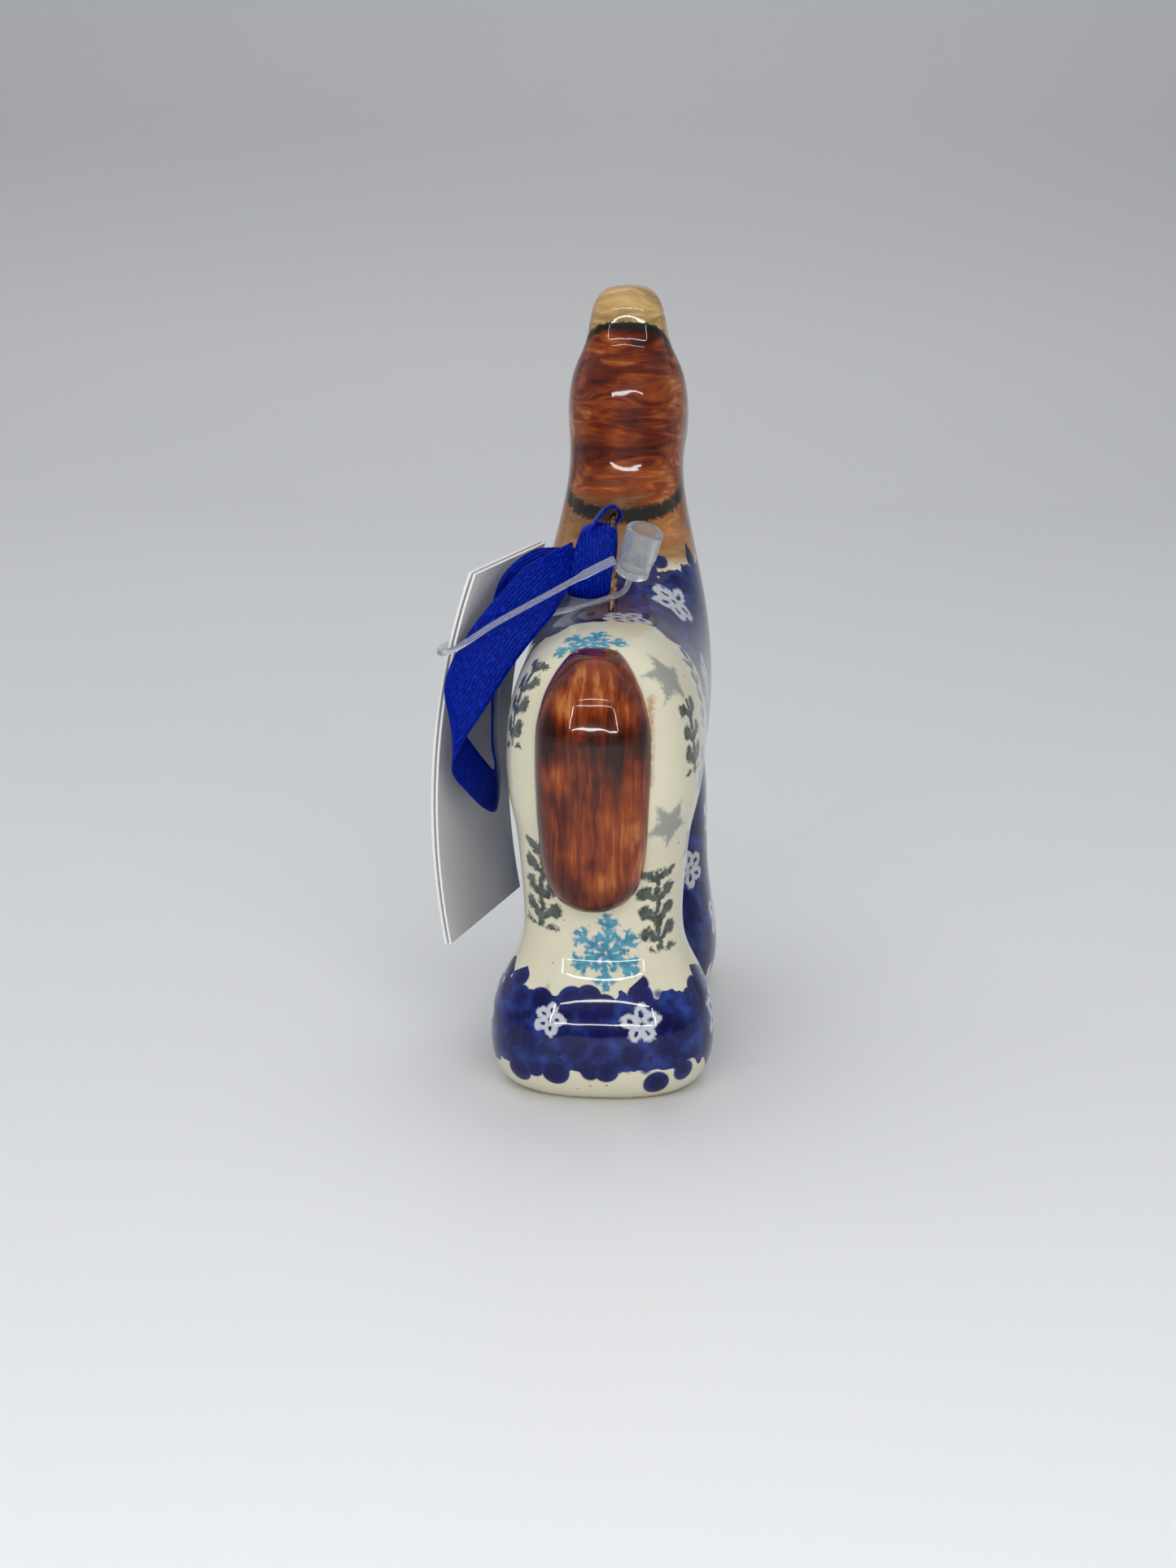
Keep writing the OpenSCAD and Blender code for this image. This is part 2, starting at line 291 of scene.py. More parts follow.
def twig(out, off, start, angle, length, half_width):
    """Distance to a straight twig that leaves an arm at start and leans off it by angle."""
    ahead = put(tree, "Math", out, start, operation="SUBTRACT")
    lean_out = put(tree, "Math", ahead, math.cos(angle), operation="MULTIPLY")
    lean_off = put(tree, "Math", off, math.sin(angle), operation="MULTIPLY")
    run = put(tree, "Math", lean_out, lean_off, operation="ADD")
    side_out = put(tree, "Math", ahead, -math.sin(angle), operation="MULTIPLY")
    side_off = put(tree, "Math", off, math.cos(angle), operation="MULTIPLY")
    side = put(tree, "Math", put(tree, "Math", side_out, side_off), operation="ABSOLUTE")
    side = put(tree, "Math", side, half_width, operation="SUBTRACT")
    far = put(tree, "Math", run, length, operation="SUBTRACT")
    near = put(tree, "Math", -half_width, run, operation="SUBTRACT")
    return put(tree, "Math", side, put(tree, "Math", far, near, operation="MAXIMUM"), operation="MAXIMUM")


def printed(distance, kind, strength, soft):
    """How much colour a stamp of this kind leaves: inside its outline, with a rough dabbed edge."""
    rough = put(tree, "Math", distance, edge_noise, operation="ADD")
    inside = put(tree, "MapRange", rough, -soft, soft, strength, 0.0)
    same = put(tree, "Math", stamp_kind, kind, 0.3, operation="COMPARE")
    return put(tree, "Math", inside, same, operation="MULTIPLY")


SNOWFLAKE, SPRIG, STAR, BLOSSOM = 1, 2, 3, 4
arm_out, arm_off = wedge(6)
flake = twig(arm_out, arm_off, 0.8, 0.0, 5.2, 0.62)
for start, length in ((1.9, 1.9), (4.0, 1.9)):
    side_twig = twig(arm_out, arm_off, start, math.radians(58), length, 0.52)
    flake = put(tree, "Math", flake, side_twig, operation="MINIMUM")
flake_mask = printed(flake, SNOWFLAKE, 0.95, 0.22)

sprig_half = 7.2
sprig_step = 3.6
beside = put(tree, "Math", stamp_u, operation="ABSOLUTE")
row = put(tree, "Math", put(tree, "Math", stamp_v, 20.0), sprig_step, operation="FLOORED_MODULO")
sprig = put(tree, "Math", beside, 0.6, operation="SUBTRACT")
for start in (-sprig_step, 0.0):
    bough = twig(row, beside, start, math.radians(50), 3.0, 0.72)
    sprig = put(tree, "Math", sprig, bough, operation="MINIMUM")
for lift in (0.0, sprig_step):
    bud_v = put(tree, "Math", row, lift - sprig_step * 0.52, operation="SUBTRACT")
    bud_u = put(tree, "Math", beside, 2.3, operation="SUBTRACT")
    bud = put(tree, "CombineXYZ", bud_u, bud_v)
    bud = put(tree, "VectorMath", bud, operation="LENGTH").outputs["Value"]
    sprig = put(tree, "Math", sprig, put(tree, "Math", bud, 1.25, operation="SUBTRACT"), operation="MINIMUM")
ends = put(tree, "Math", put(tree, "Math", stamp_v, operation="ABSOLUTE"), sprig_half, operation="SUBTRACT")
sprig = put(tree, "Math", sprig, ends, operation="MAXIMUM")
sprig_mask = printed(sprig, SPRIG, 0.95, 0.25)

star_out, star_off = wedge(5)
star_slope = math.radians(30)
star = put(tree, "Math", put(tree, "Math", put(tree, "Math", star_out, 4.6, operation="SUBTRACT"),
                             math.sin(star_slope), operation="MULTIPLY"),
           put(tree, "Math", star_off, math.cos(star_slope), operation="MULTIPLY"))
star_mask = printed(star, STAR, 0.85, 0.45)

petal_out, petal_off = wedge(5)
petal = put(tree, "CombineXYZ", put(tree, "Math", petal_out, 2.1, operation="SUBTRACT"),
            put(tree, "Math", petal_off, 1.25, operation="MULTIPLY"))
petal = put(tree, "VectorMath", petal, operation="LENGTH").outputs["Value"]
petal = put(tree, "Math", petal, 1.75, operation="SUBTRACT")
petal_eye = put(tree, "CombineXYZ", put(tree, "Math", petal_out, 1.9, operation="SUBTRACT"),
                put(tree, "Math", petal_off, 1.6, operation="MULTIPLY"))
petal_eye = put(tree, "VectorMath", petal_eye, operation="LENGTH").outputs["Value"]
petal_eye = put(tree, "Math", 0.62, petal_eye, operation="SUBTRACT")
petal = put(tree, "Math", petal, petal_eye, operation="MAXIMUM")
blossom_mask = printed(petal, BLOSSOM, 0.92, 0.25)

patchy = put(tree, "TexNoise", mm, named={"Scale": 0.8, "Detail": 3.0})
flake_blue = put(tree, "Mix", put(tree, "MapRange", patchy, 0.35, 0.65, 0.0, 1.0), colour("#15708F"),
                 colour("#4595AE"), data_type="RGBA")
paint = put(tree, "Mix", flake_mask, slip, flake_blue, data_type="RGBA")
sprig_green = put(tree, "Mix", put(tree, "MapRange", patchy, 0.35, 0.65, 0.0, 1.0), colour("#182322"),
                  colour("#465350"), data_type="RGBA")
paint = put(tree, "Mix", sprig_mask, paint, sprig_green, data_type="RGBA")
paint = put(tree, "Mix", star_mask, paint, colour("#858A84"), data_type="RGBA")

# Stain that ran over the tail's right edge on to the slip.
smear = put(tree, "Math", put(tree, "Math", put(tree, "Math", across, 8.1), operation="ABSOLUTE"), 0.5,
            operation="SUBTRACT")
smear_end = put(tree, "Math", put(tree, "Math", put(tree, "Math", up, 60.0, operation="SUBTRACT"),
                                  operation="ABSOLUTE"), 7.0, operation="SUBTRACT")
smear = put(tree, "Math", put(tree, "Math", smear, smear_end, operation="MAXIMUM"),
            edge_noise)
smear = put(tree, "MapRange", smear, -0.4, 0.4, 0.6, 0.0)
smear = put(tree, "Math", smear, put(tree, "MapRange", along, 36.0, 37.0, 0.0, 1.0), operation="MULTIPLY")
paint = put(tree, "Mix", smear, paint, colour("#A4622C"), data_type="RGBA")

# Cobalt: overlapping sponge dabs. A dab is there when its own middle lies in the painted zone, which gives
# the zone its scalloped edge.
dab_size = 4.0
dabs = put(tree, "TexVoronoi", mm, named={"Scale": 1 / dab_size, "Randomness": 0.9})
neck_base = 81.0
foot_top = 20.5
bare_rim = 4.0
saddle_low, saddle_high = 58.0, 70.0
flank_edge, saddle_edge = 17.5, 22.5


def cobalt_zone(point, spare):
    """One where a point lies in the cobalt zones, pulled in by spare: front half, saddle and rear foot."""
    _, zone_y, zone_z = put(tree, "SeparateXYZ", point).outputs
    edge_y = put(tree, "MapRange", zone_z, saddle_low, saddle_high, flank_edge - spare, saddle_edge - spare)
    fore = put(tree, "Math", zone_y, edge_y, operation="LESS_THAN")
    under_neck = put(tree, "Math", zone_z, neck_base - spare, operation="LESS_THAN")
    foot = put(tree, "Math", zone_z, foot_top - spare, operation="LESS_THAN")
    top = put(tree, "Math", put(tree, "Math", fore, under_neck, operation="MULTIPLY"), foot,
              operation="MAXIMUM")
    base = put(tree, "Math", zone_z, bare_rim + 0.9 * spare, operation="GREATER_THAN")
    return put(tree, "Math", top, base, operation="MULTIPLY")


dab_inside = put(tree, "MapRange", dabs.outputs["Distance"], 0.56, 0.62, 1.0, 0.0)
dab_inside = put(tree, "Math", dab_inside, cobalt_zone(dabs.outputs["Position"], 0.0), operation="MULTIPLY")
# The filling between the dabs ends on a ragged line of its own.
ragged = put(tree, "VectorMath", wobble, (2.4, 2.4, 0.0), operation="MULTIPLY")
ragged = put(tree, "CombineXYZ", 0.0, put(tree, "SeparateXYZ", ragged).outputs[0],
             put(tree, "SeparateXYZ", ragged).outputs[1])
ragged = put(tree, "VectorMath", mm, ragged, operation="ADD")
cobalt_mask = put(tree, "Math", dab_inside, cobalt_zone(ragged, 2.4), operation="MAXIMUM")
dab_depth = put(tree, "MapRange", dabs.outputs["Distance"], 0.34, 0.66, 0.0, 1.0)
wash = put(tree, "TexNoise", mm, named={"Scale": 0.35, "Detail": 4.0, "Roughness": 0.65})
wash = put(tree, "MapRange", wash, 0.40, 0.68, 0.05, 0.50)
dab_tone = put(tree, "Math", dab_depth, wash, operation="MULTIPLY")
cobalt = put(tree, "Mix", dab_tone, colour("#03043A"), colour("#3C60BE"), data_type="RGBA")
cobalt_lit = put(tree, "Mix", put(tree, "Math", wash, 0.5, operation="MULTIPLY"), cobalt,
                 colour("#10188A"), data_type="RGBA")
cobalt_lit = put(tree, "Mix", blossom_mask, cobalt_lit, colour("#C3C7CC"), data_type="RGBA")
paint = put(tree, "Mix", cobalt_mask, paint, cobalt_lit, data_type="RGBA")

# Brown: a stain brushed round the neck and head in thin strokes, over the same slip.
stroke_place = put(tree, "Mapping", mm, named={"Scale": (0.075, 0.12, 0.36), "Rotation": (0.3, 0.42, 0.0)})
strokes = put(tree, "TexNoise", stroke_place, named={"Scale": 1.0, "Detail": 5.0, "Roughness": 0.58,
                                                    "Distortion": 1.7})
broad = put(tree, "TexNoise", mm, named={"Scale": 0.11, "Detail": 2.0})
stroke_tone = put(tree, "Math", put(tree, "MapRange", strokes, 0.34, 0.72, 0.0, 0.56),
                  put(tree, "MapRange", broad, 0.38, 0.66, -0.05, 0.34))
neck_browns = ((0.0, "#2E0B02"), (0.30, "#632106"), (0.55, "#924415"), (0.78, "#B87A40"))
brown = brown_stain(tree, stroke_tone, neck_browns, "#D6B078")
neck_fade = put(tree, "Math", up, put(tree, "MapRange", strokes, 0.3, 0.7, -6.0, 6.0))
neck_fade = put(tree, "MapRange", neck_fade, 78.0, 91.0, 0.6, 0.0)
brown_neck = put(tree, "Mix", neck_fade, brown, colour("#C99E62"), data_type="RGBA")
strap_line = put(tree, "Math", put(tree, "Math", up, 119.5, operation="SUBTRACT"),
                 put(tree, "Math", put(tree, "Math", along, 21.5), 0.8, operation="MULTIPLY"),
                 operation="SUBTRACT")
crown = put(tree, "Math", put(tree, "MapRange", strap_line, 0.0, 0.6, 0.0, 0.8),
            put(tree, "MapRange", strokes, 0.35, 0.65, 0.45, 1.0), operation="MULTIPLY")
brown_head = put(tree, "Mix", crown, brown_neck, colour("#E0BE7E"), data_type="RGBA")
neck_line = put(tree, "Math", up, put(tree, "MapRange", broad, 0.3, 0.7, -1.0, 1.0))
neck_mask = put(tree, "MapRange", neck_line, 78.6, 80.4, 0.0, 1.0)
bare_cobalt = put(tree, "Math", 1.0, dab_inside, operation="SUBTRACT")
neck_mask = put(tree, "Math", neck_mask, bare_cobalt, operation="MULTIPLY")
paint = put(tree, "Mix", neck_mask, paint, brown_head, data_type="RGBA")

# Bridle: two dark lines of the brush, over the poll and round the neck.
rein_line = put(tree, "Math", put(tree, "Math", up, 87.3, operation="SUBTRACT"),
                put(tree, "Math", put(tree, "Math", along, 8.0), -0.32, operation="MULTIPLY"),
                operation="SUBTRACT")
behind_neck = put(tree, "Math", put(tree, "Math", along, 2.0), 0.0, operation="MAXIMUM")
rein_line = put(tree, "Math", put(tree, "Math", rein_line, operation="ABSOLUTE"), behind_neck)
for line_distance, half_width in ((rein_line, 0.95), (strap_line, 0.75)):
    line_off = put(tree, "Math", put(tree, "Math", line_distance, operation="ABSOLUTE"), edge_noise)
    line_mask = put(tree, "MapRange", line_off, half_width - 0.2, half_width + 0.35, 0.96, 0.0)
    paint = put(tree, "Mix", line_mask, paint, colour("#131A17"), data_type="RGBA")

# Bare, wiped biscuit under the feet.
biscuit = put(tree, "MapRange", up, 0.25, 0.6, 1.0, 0.0)
paint = put(tree, "Mix", biscuit, paint, colour("#CDBF9C"), data_type="RGBA")
gloss = put(tree, "Mix", biscuit, 0.25, 0.8)
under_clear_glaze(tree, paint, gloss, 0.22)

work = bmesh.new()
work.from_mesh(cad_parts["horse_body"].data)
horse = slip_cast("horse", work, 0.62 * MM, 60, 0.25 * MM, painted_glaze)

# Each stamp: its kind, where it lies, its turn in degrees and its size against the nominal one.
stamps = [
    (SNOWFLAKE, (2.2, 35, 75), 12, 1.0), (SNOWFLAKE, (-1.2, 44, 25), 28, 1.0),
    (SPRIG, (13.5, 38, 65), 8, 1.0), (SPRIG, (10.8, 43, 35), -8, 1.05),
    (SPRIG, (-15, 37, 61), 0, 1.0), (SPRIG, (-11.6, 43, 31), 6, 0.98),
    (STAR, (-11.5, 38, 70), 10, 1.0), (STAR, (-12.2, 43, 46), -12, 0.9),
    (BLOSSOM, (7.8, 46, 14.5), 0, 0.72), (BLOSSOM, (-7.2, 46, 14), 20, 0.85),
    (BLOSSOM, (-3, 18.5, 75), 0, 1.1), (BLOSSOM, (-12, 3, 77), 15, 1.2),
    (BLOSSOM, (0, -37.5, 66), 0, 1.1), (BLOSSOM, (0, -30, 38), 30, 1.0), (BLOSSOM, (4, -30, 14), 10, 1.0),
]
for side in (-1, 1):
    stamps += [
        (SNOWFLAKE, (side * 16, 28, 51), 0, 1.0), (SNOWFLAKE, (side * 14, 27, 30), 20, 0.8),
        (SPRIG, (side * 16, 25, 64), 20 * side, 0.8), (STAR, (side * 15, 33, 41), 0, 0.8),
        (BLOSSOM, (side * 18, 33, 12), 0, 1.1), (BLOSSOM, (side * 16, 8, 62), 0, 1.25),
        (BLOSSOM, (side * 16, -6, 48), 25, 1.15), (BLOSSOM, (side * 16, -18, 62), -10, 1.2),
        (BLOSSOM, (side * 15.5, -14, 33), 10, 1.1), (BLOSSOM, (side * 16, -12, 14), 0, 1.1),
        (BLOSSOM, (side * 15.5, -3.2, 25), 40, 0.9), (BLOSSOM, (side * 14, -22, 76), 0, 1.0),
        (BLOSSOM, (side * 16, 5, 44), 5, 0.9),
    ]
skin = horse.data
tree_of_faces = BVHTree.FromPolygons([v.co for v in skin.vertices], [p.vertices for p in skin.polygons])
stamp_frames = []
for kind, place_mm, degrees, size in stamps:
    spot, normal, _, _ = tree_of_faces.find_nearest(Vector(place_mm) * MM)
    sideways = Vector((0, 0, 1)).cross(normal)
    if abs(normal.z) > 0.9:
        sideways = Vector((-1, 0, 0))
    sideways = (sideways - normal * sideways.dot(normal)).normalized()
    upward = normal.cross(sideways)
    angle = math.radians(degrees)
    u_axis = (sideways * math.cos(angle) + upward * math.sin(angle)) / (MM * size)
    v_axis = (upward * math.cos(angle) - sideways * math.sin(angle)) / (MM * size)
    stamp_frames.append((kind, spot, u_axis, v_axis, size))
centres = np.empty(len(skin.polygons) * 3)
skin.polygons.foreach_get("center", centres)
centres = centres.reshape(-1, 3)
spots = np.array([f[1] for f in stamp_frames])
sizes = np.array([f[4] for f in stamp_frames])
distances = np.linalg.norm(centres[:, None, :] - spots[None, :, :], axis=2) / sizes[None, :]
nearest = distances.argmin(axis=1)
in_reach = distances.min(axis=1) < 8.5 * MM
corner_counts = np.empty(len(skin.polygons), dtype=int)
skin.polygons.foreach_get("loop_total", corner_counts)
corner_verts = np.empty(len(skin.loops), dtype=int)
skin.loops.foreach_get("vertex_index", corner_verts)
points = np.empty(len(skin.vertices) * 3)
skin.vertices.foreach_get("co", points)
points = points.reshape(-1, 3)[corner_verts]
corner_stamp = np.repeat(nearest, corner_counts)
offset = points - spots[corner_stamp]
motif = np.zeros((len(points), 3))
motif[:, 0] = (offset * np.array([f[2] for f in stamp_frames])[corner_stamp]).sum(axis=1)
motif[:, 1] = (offset * np.array([f[3] for f in stamp_frames])[corner_stamp]).sum(axis=1)
motif[:, 2] = np.array([f[0] for f in stamp_frames])[corner_stamp] * np.repeat(in_reach, corner_counts)
skin.attributes.new("motif", "FLOAT_VECTOR", "CORNER").data.foreach_set("vector", motif.ravel())
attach(horse, "root")
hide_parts("horse_body")


# ---------------------------------------------------------------------------------------------------------
# Tail: a long pad of the same clay, pressed in its own mould and luted to the rump, stained brown with
# vertical strokes of the brush, and with painted shade in dark red down its left side.
brown_glaze, tree = new_material("iron brown stain under clear glaze")
mm = in_millimetres(tree)
across, along, up = put(tree, "SeparateXYZ", mm).outputs
stroke_place = put(tree, "Mapping", mm, named={"Scale": (0.85, 0.3, 0.085), "Rotation": (0.0, 0.09, 0.0)})
strokes = put(tree, "TexNoise", stroke_place, named={"Scale": 1.0, "Detail": 6.0, "Roughness": 0.6,
                                                    "Distortion": 0.4})
broad = put(tree, "TexNoise", mm, named={"Scale": 0.12, "Detail": 2.0})
belt = put(tree, "MapRange", put(tree, "Math", put(tree, "Math", up, 60.0, operation="SUBTRACT"),
                                 operation="ABSOLUTE"), 1.0, 6.0, -0.30, 0.0)
stroke_tone = put(tree, "Math", put(tree, "MapRange", strokes, 0.30, 0.72, 0.0, 0.58),
                  put(tree, "MapRange", broad, 0.36, 0.66, -0.05, 0.36))
stroke_tone = put(tree, "Math", stroke_tone, belt)
tail_browns = ((0.0, "#260802"), (0.30, "#561B05"), (0.58, "#873A11"), (0.82, "#B06A34"))
brown = brown_stain(tree, stroke_tone, tail_browns, "#D9A868")
# Painted shade: a dark red on the tail's left side, forward of its back face, where the pad turns in to the
# rump.
painted_side_shade = put(tree, "Math", along, put(tree, "MapRange", broad, 0.3, 0.7, -0.5, 0.5))
painted_side_shade = put(tree, "MapRange", painted_side_shade, 44.4, 45.8, 0.55, 0.0)
painted_side_shade = put(tree, "Math", painted_side_shade, put(tree, "MapRange", across, 2.0, 5.0, 0.0, 1.0), operation="MULTIPLY")
stain = put(tree, "Mix", painted_side_shade, brown, colour("#5A1016"), data_type="RGBA")
blob = put(tree, "VectorMath", put(tree, "VectorMath", mm, (-0.5, 44.5, 72.5), operation="SUBTRACT"),
           (0.30, 0.5, 0.55), operation="MULTIPLY")
blob = put(tree, "VectorMath", blob, operation="LENGTH").outputs["Value"]
blob = put(tree, "Math", blob, put(tree, "MapRange", strokes, 0.3, 0.7, -0.5, 0.5))
blob = put(tree, "MapRange", blob, 0.6, 1.2, 0.55, 0.0)
stain = put(tree, "Mix", blob, stain, colour("#8A3A0E"), data_type="RGBA")
dot = put(tree, "VectorMath", mm, (2.2, 50.0, 60.8), operation="DISTANCE").outputs["Value"]
dot = put(tree, "MapRange", dot, 0.4, 0.8, 0.8, 0.0)
stain = put(tree, "Mix", dot, stain, colour("#2A1005"), data_type="RGBA")
under_clear_glaze(tree, stain, 0.18, 0.25)

tail_middle = 0.8 * MM
tail_half = 9.1 * MM
tail_root = 6.5 * MM
# Height, share of the width, and how far back the tail reaches there.
tail_stations = [(32.2, 0.40, 45.2), (33.4, 0.62, 46.6), (36, 0.80, 47.8), (40, 0.90, 48.6),
                 (47, 0.97, 49.4), (55, 1.00, 50.0), (62, 0.99, 50.0), (67, 0.86, 49.0),
                 (70.5, 0.66, 46.8), (73, 0.40, 43.6)]


def squircle(work, count, half_x, half_y, middle, squareness):
    """A ring between a circle and a square, flat in the plane z = middle.z."""
    ring = bmesh.ops.create_circle(work, segments=count, radius=1)["verts"]
    for vert in ring:
        flat = [math.copysign(abs(c) ** (2 / squareness), c) for c in vert.co.xy]
        vert.co = middle + Vector((flat[0] * half_x, flat[1] * half_y, 0))
    return [e for e in work.edges if all(v in ring for v in e.verts)]


work = bmesh.new()
rings = []
for height, share, rear in tail_stations:
    middle = Vector((tail_middle, rear * MM - tail_root, height * MM))
    rings += squircle(work, 32, share * tail_half, tail_root, middle, 2.15)
loops = [rings[i * 32:(i + 1) * 32] for i in range(len(tail_stations))]
for lower, upper in zip(loops, loops[1:]):
    bmesh.ops.bridge_loops(work, edges=lower + upper)
bmesh.ops.holes_fill(work, edges=[e for e in work.edges if e.is_boundary], sides=0)
bmesh.ops.recalc_face_normals(work, faces=work.faces)
tail = slip_cast("tail_relief", work, 0.45 * MM, 40, 0.3 * MM, brown_glaze)
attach(tail, "root")
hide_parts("tail")


# ---------------------------------------------------------------------------------------------------------
# Wire eye: a hairpin of heat-proof wire whose two legs were fired into the back. The kiln left it dark with
# a coppery shine.
fired_wire, tree = new_material("kiln-darkened wire")
mm = in_millimetres(tree)
scale_marks = put(tree, "TexNoise", mm, named={"Scale": 1.1, "Detail": 4.0})
heat = put(tree, "MapRange", scale_marks, 0.40, 0.62, 0.0, 1.0)
tone = put(tree, "Mix", heat, colour("#5A3A2A"), colour("#B08A6E"), data_type="RGBA")
dullness = put(tree, "MapRange", heat, 0.0, 1.0, 0.48, 0.28)
surface = put(tree, "BsdfPrincipled", tone, named={"Metallic": 1.0, "Roughness": dullness})
put(tree, "OutputMaterial", surface)
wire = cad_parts["wire_hanger"]
wire.data.materials.clear()
wire.data.materials.append(fired_wire)


# ---------------------------------------------------------------------------------------------------------
# Ribbon: woven polyester satin, 9.5 mm wide, folded to one long loop that hangs down the horse's left side.
# Its two ends are caught in the hitch at the wire.
def smooth_route(stops, steps):
    """Points on a curve through the stops, with so many steps between two stops."""
    stops = [Vector(s) for s in stops]
    ends = [2 * stops[0] - stops[1]] + stops + [2 * stops[-1] - stops[-2]]
    route = []
    for a, b, c, d in zip(ends, ends[1:], ends[2:], ends[3:]):
        for i in range(steps):
            t = i / steps
            route.append(0.5 * (2 * b + (c - a) * t + (2 * a - 5 * b + 4 * c - d) * t * t
                                + (3 * b - a - 3 * c + d) * t ** 3))
    return route + [stops[-1]]


def strip(work, route, ways, widths, columns):
    """A flat band along a route, across each way, with a UV map in millimetres."""
    uv = work.loops.layers.uv.verify()
    rows = len(route) - 1
    grid = bmesh.ops.create_grid(work, x_segments=columns, y_segments=rows, size=1)["verts"]
    lengths = [0.0]
    for a, b in zip(route, route[1:]):
        lengths.append(lengths[-1] + (b - a).length)
    marks = {}
    for vert in grid:
        row = round((vert.co.y + 1) / 2 * rows)
        share = vert.co.x
        across = ways[row].normalized() * widths[row] / 2
        crown = across.cross(route[min(row + 1, rows)] - route[max(row - 1, 0)]).normalized()
        marks[vert] = (share * widths[row] / 2 / MM, lengths[row] / MM)
        vert.co = route[row] + across * share + crown * 0.25 * MM * (1 - share * share)
    for face in {face for vert in grid for face in vert.link_faces}:
        for loop in face.loops:
            loop[uv].uv = marks[loop.vert]


# Satin: long warp floats lie side by side, so the face is glossy along the band and shows fine ribs. The
# short sparks where the floats dip are painted glints: a lighter blue mixed into the colour by a noise.
# Threads are drawn a little coarser than real so that they show.
satin, tree = new_material("royal blue polyester satin")
thread_uv = put(tree, "UVMap").outputs["UV"]
ribs = put(tree, "TexWave", thread_uv, named={"Scale": 0.50, "Distortion": 1.6, "Detail": 1.0},
           bands_direction="X")
dip_place = put(tree, "Mapping", thread_uv, named={"Scale": (3.4, 0.95, 1.0)})
dips = put(tree, "TexNoise", dip_place, named={"Scale": 1.0, "Detail": 3.0, "Roughness": 0.6})
# Painted glints: where the dips noise is high, a lighter blue is mixed into the ribbon's colour.
painted_glint = put(tree, "MapRange", dips, 0.50, 0.68, 0.0, 1.0)
deep = put(tree, "Mix", put(tree, "MapRange", ribs, 0.0, 1.0, 0.0, 0.7), colour("#010960"),
           colour("#03199A"), data_type="RGBA")
tone = put(tree, "Mix", put(tree, "Math", painted_glint, 0.6, operation="MULTIPLY"), deep, colour("#0B3ED8"),
           data_type="RGBA")
relief = put(tree, "Math", put(tree, "Math", ribs, 0.5, operation="MULTIPLY"), dips)
weave = put(tree, "Bump", named={"Strength": 0.7, "Distance": 0.00012, "Height": relief})
surface = put(tree, "BsdfPrincipled", tone, named={"Roughness": 0.32, "Normal": weave, "Anisotropic": 0.4,
                                                   "Specular IOR Level": 0.18})
surface.inputs["Specular Tint"].default_value = colour("#7FA8FF")
put(tree, "OutputMaterial", surface)


def give_cloth(piece, thickness, offset=0.0):
    """Gives a flat band the thickness of the folded satin."""
    cloth = piece.modifiers.new("cloth", "SOLIDIFY")
    cloth.thickness = thickness
    cloth.offset = offset


ribbon_width = 9.5 * MM
ribbon_stops = [
    ((5.8, 12, 82.6), (0, 0, 1)), ((10.4, 12.8, 81.2), (0.1, 0, 1)), ((14.6, 13.4, 79), (0.15, 0, 1)),
    ((17.2, 13.6, 75.8), (0.25, 0.3, 0.85)), ((18.8, 13, 71.4), (0.2, 0.6, 0.75)),
    ((19.4, 12, 66), (0.1, 1, 0.1)), ((20, 11, 58), (0, 1, 0)),
    ((20.2, 10, 51), (0, 1, 0.2)), ((19.8, 9.6, 46), (0, 0.9, 0.5)),
    ((20, 12.6, 43.4), (0, 0.5, 0.9)), ((21.4, 17, 45.6), (0, 0.2, 1)), ((23.6, 21.4, 50), (0, 0, 1)),
    ((25.6, 25.2, 54.6), (0, 0, 1)), ((25, 26.6, 59.6), (0.3, 0, 0.9)), ((22, 25, 65.6), (0.6, 0, 0.8)),
    ((18.4, 22.8, 71.2), (0.6, 0, 0.8)), ((14.4, 20.6, 76), (0.5, 0, 0.9)),
    ((10.2, 18, 80.4), (0.4, 0, 0.9)),
    ((6, 14.2, 84), (0.2, 0, 1)),
]
ribbon_steps = 8
ribbon_path = [p * MM for p in smooth_route([s[0] for s in ribbon_stops], ribbon_steps)]
ribbon_ways = smooth_route([s[1] for s in ribbon_stops], ribbon_steps)
work = bmesh.new()
ribbon_rows = len(ribbon_path) - 1
# Gathered to about half its width where each end goes into the hitch.
gathered = [min(1.0, 0.55 + 6.0 * min(row, ribbon_rows - row) / ribbon_rows)
            for row in range(ribbon_rows + 1)]
strip(work, ribbon_path, ribbon_ways, [ribbon_width * share for share in gathered], 12)
ribbon = show("ribbon_loop_satin", work, satin)
give_cloth(ribbon, 0.28 * MM)
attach(ribbon, "ribbon")
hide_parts("ribbon_loop")


# ---------------------------------------------------------------------------------------------------------
# Hitch: the same ribbon's bight, passed through the wire eye and drawn down as a collar round both runs.
hitch_middle = Vector((3.0, 12.4, 83.2)) * MM
hitch_half_width = 3.5 * MM
hitch_half_depth = 3.4 * MM
hitch_half_height = 6.4 * MM
hitch_columns = 14
work = bmesh.new()
uv = work.loops.layers.uv.verify()
ring = squircle(work, 64, hitch_half_depth, hitch_half_height, Vector((0, 0, -hitch_half_width)), 2.8)
for _ in range(hitch_columns):
    pulled = bmesh.ops.extrude_edge_only(work, edges=ring)["geom"]
    bmesh.ops.translate(work, verts=[g for g in pulled if isinstance(g, bmesh.types.BMVert)],
                        vec=(0, 0, 2 * hitch_half_width / hitch_columns))
    ring = [g for g in pulled if isinstance(g, bmesh.types.BMEdge) and g.is_boundary]
